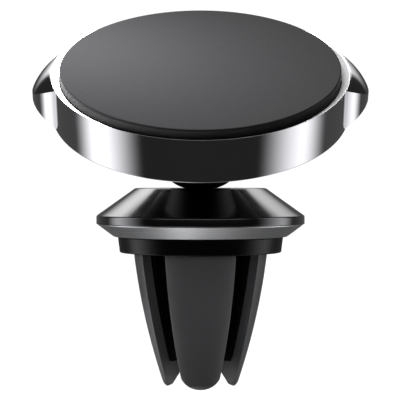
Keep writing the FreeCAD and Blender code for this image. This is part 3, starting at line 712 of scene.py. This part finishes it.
# %% Brushed aluminium
LINE_MM = 0.07
trim_finish, tree, shader = new_finish("spun_brushed_aluminium", 0xC9CACC, 1.0, 0.3,
                                       {"Anisotropic": 0.6})
place = add_node(tree, "ShaderNodeTexCoord")
parts = add_node(tree, "ShaderNodeSeparateXYZ", {"Vector": place.outputs["Object"]})
flat = add_node(tree, "ShaderNodeCombineXYZ", {"X": parts.outputs["X"], "Y": parts.outputs["Y"]})
away = add_node(tree, "ShaderNodeVectorMath", {0: flat.outputs["Vector"]}, operation="LENGTH")
line_place = add_node(tree, "ShaderNodeCombineXYZ", {"X": away.outputs["Value"],
                                                     "Y": parts.outputs["Z"]})
lines = add_node(tree, "ShaderNodeTexNoise", {"Vector": line_place.outputs["Vector"]},
                 {"Scale": 1 / (LINE_MM * MM), "Detail": 4.0})
add_bump(tree, shader, lines.outputs["Fac"], 0.01)
vary(tree, lines.outputs["Fac"], 0.22, 0.4, shader, "Roughness")

# %% [markdown]
# **Sleeve rubber.** Soft dark grey rubber with a satin skin and a very fine mould texture.
# Patches a few millimetres wide are a little smoother, as if they had been rubbed.

# %% Sleeve rubber
sleeve_finish, tree, shader = new_finish("satin_sleeve_rubber", 0x4A4A4C, 0.0, 0.42,
                                         {"IOR": 1.52})
add_bump(tree, shader, grain(tree, 0.12), 0.012)
vary(tree, grain(tree, 4.0), 0.36, 0.48, shader, "Roughness")

# %% [markdown]
# **Black plastics and the rest.** The collar and cover are satin ABS, the cores and the hub are
# duller nylon with a spark-eroded texture. They share one recipe with different numbers, and so
# do the plated metals.


# %% Black plastics, steels and the small parts
def moulded_black(name, base, roughness, tooth_mm, depth_mm, shine=0.5):
    material, tree, shader = new_finish(name, base, 0.0, roughness,
                                        {"IOR": 1.53, "Specular IOR Level": shine})
    tooth = grain(tree, tooth_mm)
    add_bump(tree, shader, tooth, depth_mm)
    vary(tree, tooth, roughness * 0.85, roughness * 1.15, shader, "Roughness")
    return material


def plated(name, base, roughness, haze_mm):
    material, tree, shader = new_finish(name, base, 1.0, roughness)
    vary(tree, grain(tree, haze_mm), roughness * 0.7, roughness * 1.3, shader, "Roughness")
    return material


collar_finish = moulded_black("satin_black_abs", 0x040404, 0.3, 0.1, 0.006, shine=0.14)
cover_finish = moulded_black("cover_black_abs", 0x161617, 0.34, 0.12, 0.01)
core_finish = moulded_black("glass_filled_nylon", 0x020202, 0.75, 0.15, 0.02, shine=0.1)
seat_finish = moulded_black("acetal_seat", 0x1C1C1D, 0.4, 0.2, 0.01)
tray_finish = moulded_black("tray_abs", 0x111112, 0.45, 0.2, 0.01)
neck_finish = plated("black_zinc_neck", 0x2B2B2D, 0.22, 1.0)
ball_finish = plated("black_nickel_ball", 0x77777A, 0.12, 1.5)
screw_finish = plated("black_zinc_screw", 0x39393B, 0.32, 0.4)
magnet_finish = plated("nickel_plate", 0xC2C0BA, 0.2, 1.0)
yoke_finish = plated("zinc_plated_steel", 0xA8ABB0, 0.38, 0.8)
tape_finish = moulded_black("adhesive_foam", 0x9A9A94, 0.7, 0.3, 0.02)

# %% [markdown]
# Each finish goes to its slot: on the new pieces by name, and on the frame's own parts, such as
# the cores, the hub and the pieces inside the head, by the slot that the record gives them.

# %% Give every piece its finish
FINISHES = {
    "soft_pad": disc_finish, "adhesive": tape_finish, "ring_metal": chrome_finish,
    "tray_plastic": tray_finish, "magnet_nickel": magnet_finish, "yoke_steel": yoke_finish,
    "cover_plastic": cover_finish, "screw_steel": screw_finish, "stud_metal": neck_finish,
    "ball_metal": ball_finish, "seat_plastic": seat_finish, "nut_gloss": nut_finish,
    "trim_metal": trim_finish, "hub_plastic": core_finish, "collar_plastic": collar_finish,
    "finger_plastic": core_finish, "sleeve_rubber": sleeve_finish}
PIECE_SLOTS = {
    "soft_disc": "soft_pad", "ring_band": "ring_metal", "ear_left": "ring_metal",
    "ear_right": "ring_metal", "cover_shell": "cover_plastic", "cross_screws": "screw_steel",
    "neck": "stud_metal", "ball_bright": "ball_metal", "pressure_ring": "seat_plastic",
    "cone_nut": "nut_gloss", "brushed_trim": "trim_metal", "collar_skirt": "collar_plastic",
    "rubber_front": "sleeve_rubber", "rubber_right": "sleeve_rubber",
    "rubber_back": "sleeve_rubber", "rubber_left": "sleeve_rubber"}

for piece_name, slot_name in PIECE_SLOTS.items():
    bpy.data.objects[piece_name].data.materials.append(FINISHES[slot_name])
ring.data.materials.append(cut_finish)
for part in frame["record"]["subparts"]:
    node = nodes[part["node"]]
    for place in node.material_slots:
        place.material = FINISHES[part["material_slot"]]

# %% [markdown]
# ## Studio
# The floor is pale and sits well below the clip. The light is a large soft surround, and it is
# dark in front and at the rear corners, which is what gives polished black and chrome their
# shape. The camera itself sees plain white.
#
# The surround is a function of direction in the world's shader. A direction has an azimuth, 0
# straight behind the object and 180 at the camera, on either side alike, and a height, 90
# overhead. Each part of the surround is a product of soft limits in degrees and a strength:
#
# - side screens: the white bars in the ring and its ears
# - back panel: the broad grey streak on each flank of the nut
# - back ceiling: the light on the floor and on the tops
# - under card: the highlight left of the middle of the brushed trim, with a grey one all round
# - front strip and front ceiling: what the back of the object mirrors

# %% Floor
FLOOR_SIZE = 3.0
FLOOR_LEVEL = -0.034

floor_bm = bmesh.new()
bmesh.ops.create_grid(floor_bm, x_segments=1, y_segments=1, size=FLOOR_SIZE)
bmesh.ops.translate(floor_bm, vec=(0, 0, FLOOR_LEVEL), verts=floor_bm.verts)
floor_mesh = bpy.data.meshes.new("floor")
floor_bm.to_mesh(floor_mesh)
floor_bm.free()
floor = bpy.data.objects.new("floor", floor_mesh)
bpy.context.collection.objects.link(floor)
floor_finish, tree, shader = new_finish("pale_floor", 0xFFFFFF, 0.0, 0.9)
floor_mesh.materials.append(floor_finish)
floor.visible_glossy = False
floor.visible_diffuse = False

# %% Surround
world = bpy.data.worlds.new("studio")
bpy.context.scene.world = world
world.use_nodes = True
tree = world.node_tree
tree.nodes.clear()
place = add_node(tree, "ShaderNodeTexCoord")
parts = add_node(tree, "ShaderNodeSeparateXYZ", {"Vector": place.outputs["Generated"]})
sideways = add_node(tree, "ShaderNodeMath", {0: parts.outputs["X"]}, operation="ABSOLUTE")
azimuth = add_node(tree, "ShaderNodeMath", {0: sideways.outputs[0], 1: parts.outputs["Y"]},
                   operation="ARCTAN2")
height = add_node(tree, "ShaderNodeMath", {0: parts.outputs["Z"]}, operation="ARCSINE")
sidelong = add_node(tree, "ShaderNodeMath", {0: parts.outputs["X"]}, operation="ARCSINE")


def ramp(value, low, high):
    """0 below low, 1 above high, smooth between, with both limits in degrees."""
    node = add_node(tree, "ShaderNodeMapRange", {"Value": value},
                    {"From Min": math.radians(low), "From Max": math.radians(high)},
                    interpolation_type="SMOOTHSTEP")
    return node.outputs["Result"]


def product(*factors):
    """Product of several outputs or numbers."""
    result = factors[0]
    for factor in factors[1:]:
        node = add_node(tree, "ShaderNodeMath", operation="MULTIPLY")
        for socket, item in enumerate((result, factor)):
            if isinstance(item, (int, float)):
                node.inputs[socket].default_value = item
            else:
                tree.links.new(item, node.inputs[socket])
        result = node.outputs[0]
    return result


def total(*terms):
    result = terms[0]
    for term in terms[1:]:
        node = add_node(tree, "ShaderNodeMath", {0: result, 1: term}, operation="ADD")
        result = node.outputs[0]
    return result


def opposite(value):
    return add_node(tree, "ShaderNodeMath", {1: value}, {0: 1.0}, operation="SUBTRACT").outputs[0]


def gain(limit, left, right):
    """A strength that changes from left to right over a narrow strip in the middle."""
    node = add_node(tree, "ShaderNodeMapRange", {"Value": parts.outputs["X"]},
                    {"From Min": -limit, "From Max": limit, "To Min": left, "To Max": right})
    return node.outputs["Result"]


DIM = 0.035
BACKDROP = 1.05
az = azimuth.outputs[0]
up = height.outputs[0]
side = sidelong.outputs[0]
side_screens = product(ramp(az, 57.5, 82), opposite(ramp(az, 75, 118)), ramp(up, -62, -50),
                       opposite(ramp(up, 20, 45)), gain(0.3, 1.1, 0.9), 3.0)
back_panel = product(opposite(ramp(az, 28, 34)), ramp(up, 13, 42), opposite(ramp(up, 42, 46)),
                     gain(0.2, 3.0, 2.2))
back_ceiling = product(opposite(ramp(az, 80, 110)), ramp(up, 52, 60), opposite(ramp(up, 80, 89)),
                       3.3)
rear_grey = product(opposite(ramp(az, 57, 70)), opposite(ramp(up, 5, 20)), 0.08)
under_card = product(opposite(ramp(up, -70, -62)), ramp(side, -34, -20),
                     opposite(ramp(side, -12, 4)), 1.4)
under_grey = product(opposite(ramp(up, -70, -62)), 0.35)
front_strip = product(ramp(az, 120, 140), ramp(up, 7, 10), opposite(ramp(up, 18, 24)), 1.2)
front_ceiling = product(ramp(az, 90, 130), ramp(up, 35, 60), 1.4)
dim = add_node(tree, "ShaderNodeValue")
dim.outputs[0].default_value = DIM
surround = total(side_screens, back_panel, back_ceiling, rear_grey, under_card, under_grey,
                 front_strip, front_ceiling, dim.outputs[0])
light_path = add_node(tree, "ShaderNodeLightPath")
studio = add_node(tree, "ShaderNodeBackground", {"Strength": surround},
                  {"Color": (1.0, 1.0, 1.0, 1.0)})
white = add_node(tree, "ShaderNodeBackground", (), {"Color": (1.0, 1.0, 1.0, 1.0),
                                                    "Strength": BACKDROP})
seen = add_node(tree, "ShaderNodeMixShader", {0: light_path.outputs["Is Camera Ray"],
                                              1: studio.outputs[0], 2: white.outputs[0]})
add_node(tree, "ShaderNodeOutputWorld", {"Surface": seen.outputs[0]})

# %% [markdown]
# Two soft lamps reach the matt surfaces only, so they leave no mark in the polished ones: one
# above and to the left, close enough that the disc is a little brighter on that side, and a
# weak one in front for the rubber of the prongs.


# %% Soft lamps
def soft_lamp(name, place, aim, size, watts, spread):
    data = bpy.data.lights.new(name, "AREA")
    data.shape = "DISK"
    data.size = size
    data.energy = watts
    data.spread = math.radians(spread)
    lamp = bpy.data.objects.new(name, data)
    lamp.location = place
    lamp.rotation_euler = (Vector(aim) - Vector(place)).to_track_quat("-Z", "Y").to_euler()
    lamp.visible_glossy = False
    lamp.visible_camera = False
    bpy.context.collection.objects.link(lamp)


soft_lamp("key", place=(-0.045, -0.01, 0.07), aim=(-0.01, -0.012, 0.0266), size=0.02,
          watts=0.085, spread=60)
soft_lamp("front_fill", place=(0.0, -0.12, -0.035), aim=(0.0, 0.0, -0.011), size=0.02,
          watts=0.0012, spread=20)

# %% [markdown]
# ## Camera
# A long lens from the front, a little above the collar and tipped down by less than a degree.
# The Standard view transform keeps whites white and blacks black, as on a catalogue page.

# %% Camera
SENSOR_MM = 36.0
LENS_MM = 135.0
SHIFT = -0.00125
NEAREST = 0.01
CAMERA_PLACE = (0.0, -0.2208, 0.01128)
DIP_DEGREES = 0.94

camera_data = bpy.data.cameras.new("camera")
camera_data.sensor_width = SENSOR_MM
camera_data.lens = LENS_MM
camera_data.shift_x = SHIFT
camera_data.clip_start = NEAREST
camera = bpy.data.objects.new("camera", camera_data)
camera.location = CAMERA_PLACE
camera.rotation_euler = (math.radians(90 - DIP_DEGREES), 0.0, 0.0)
bpy.context.collection.objects.link(camera)
bpy.context.scene.camera = camera
bpy.context.scene.view_settings.view_transform = "Standard"
